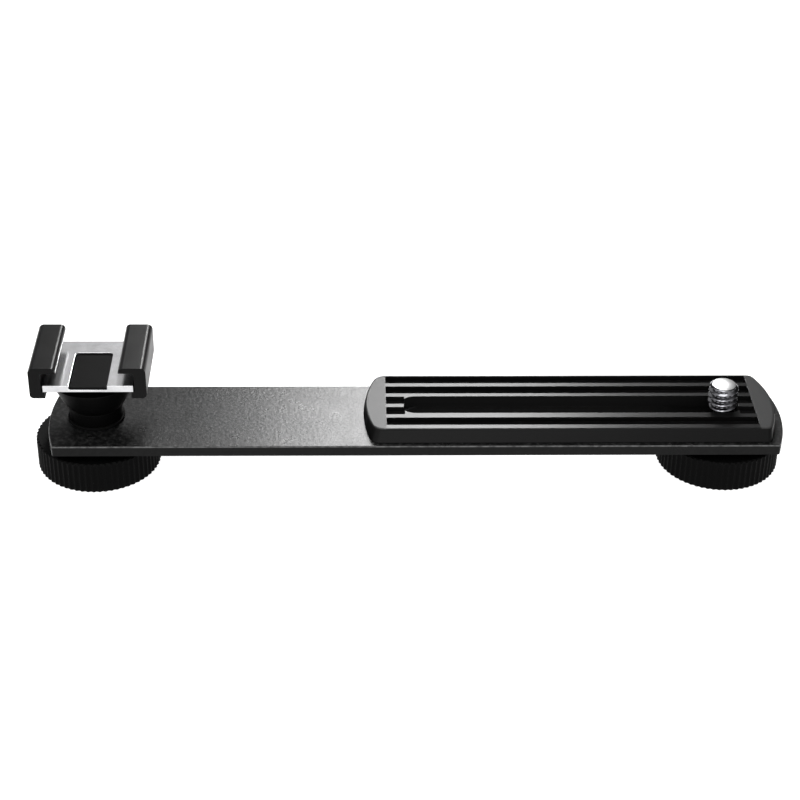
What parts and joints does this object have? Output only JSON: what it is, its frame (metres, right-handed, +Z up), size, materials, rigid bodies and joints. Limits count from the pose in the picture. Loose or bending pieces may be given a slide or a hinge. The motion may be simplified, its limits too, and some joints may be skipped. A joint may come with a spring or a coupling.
{
  "type": "straight flash bracket",
  "caption": "Straight slotted bar with a ribbed camera pad, a sliding captive camera screw and a swivelling cold shoe, each clamped from below by a serrated thumb knob.",
  "frame": {"origin": "middle of the bracket's box at the level of the knobs' undersides", "axes": "+X along the bar from the cold shoe to the camera screw, +Y to the back, +Z up"},
  "size_m": [0.16, 0.0262, 0.0283],
  "materials": {
    "anodised_bar": "sandblasted black anodised",
    "pad_black": "satin black moulding",
    "knob_black": "black moulded, fine vertical serrations",
    "shoe_black": "satin black moulding",
    "screw_chrome": "bright plated",
    "plate_steel": "bright satin",
    "insert_black": "matte",
    "fastener_steel": "zinc plated",
    "socket_brass": "turned",
    "washer_nylon": "nylon",
    "rubber_black": "matte"
  },
  "bodies": {
    "bar": {"base_bar": "anodised_bar", "ribbed_pad": "pad_black", "pad_screw_left": "fastener_steel", "pad_screw_right": "fastener_steel"},
    "shoe": {"shoe_body": "shoe_black", "shoe_plate": "plate_steel", "shoe_insert": "insert_black", "shoe_bolt": "fastener_steel", "stem_cone": "shoe_black", "stem_collar": "shoe_black", "stem_washer": "rubber_black"},
    "shoe_washers": {"shoe_washer": "washer_nylon", "shoe_wave_washer": "fastener_steel"},
    "shoe_knob": {"shoe_knob": "knob_black", "shoe_nut": "fastener_steel", "shoe_knob_cap": "knob_black"},
    "camera_slider": {"camera_washer": "washer_nylon"},
    "camera_lift": {"camera_wave_washer": "fastener_steel"},
    "camera_screw": {"camera_screw": "screw_chrome", "camera_knob": "knob_black", "camera_socket": "socket_brass"}
  },
  "joints": [
    {"name": "shoe_swivel", "type": "hinge", "parent": "bar", "child": "shoe", "pos_m": [-0.0669, 0, 0.0109], "axis": [0, 0, 1], "continuous": true},
    {"name": "shoe_knob_travel", "type": "slide", "parent": "shoe", "child": "shoe_washers", "axis": [0, 0, 1], "range_m": [-0.0016, 0]},
    {"name": "shoe_knob_turn", "type": "hinge", "parent": "shoe_washers", "child": "shoe_knob", "pos_m": [-0.0669, 0, 0.0035], "axis": [0, 0, 1], "range_deg": [-720, 0]},
    {"name": "camera_screw_slide", "type": "slide", "parent": "bar", "child": "camera_slider", "axis": [1, 0, 0], "range_m": [-0.0645, 0]},
    {"name": "camera_screw_lift", "type": "slide", "parent": "camera_slider", "child": "camera_lift", "axis": [0, 0, 1], "range_m": [-0.0016, 0]},
    {"name": "camera_screw_turn", "type": "hinge", "parent": "camera_lift", "child": "camera_screw", "pos_m": [0.0669, 0, 0.0035], "axis": [0, 0, 1], "continuous": true}
  ],
  "couplings": [
    {"joint": "shoe_knob_turn", "follows": "shoe_knob_travel", "rad_per_m": 7854}
  ]
}
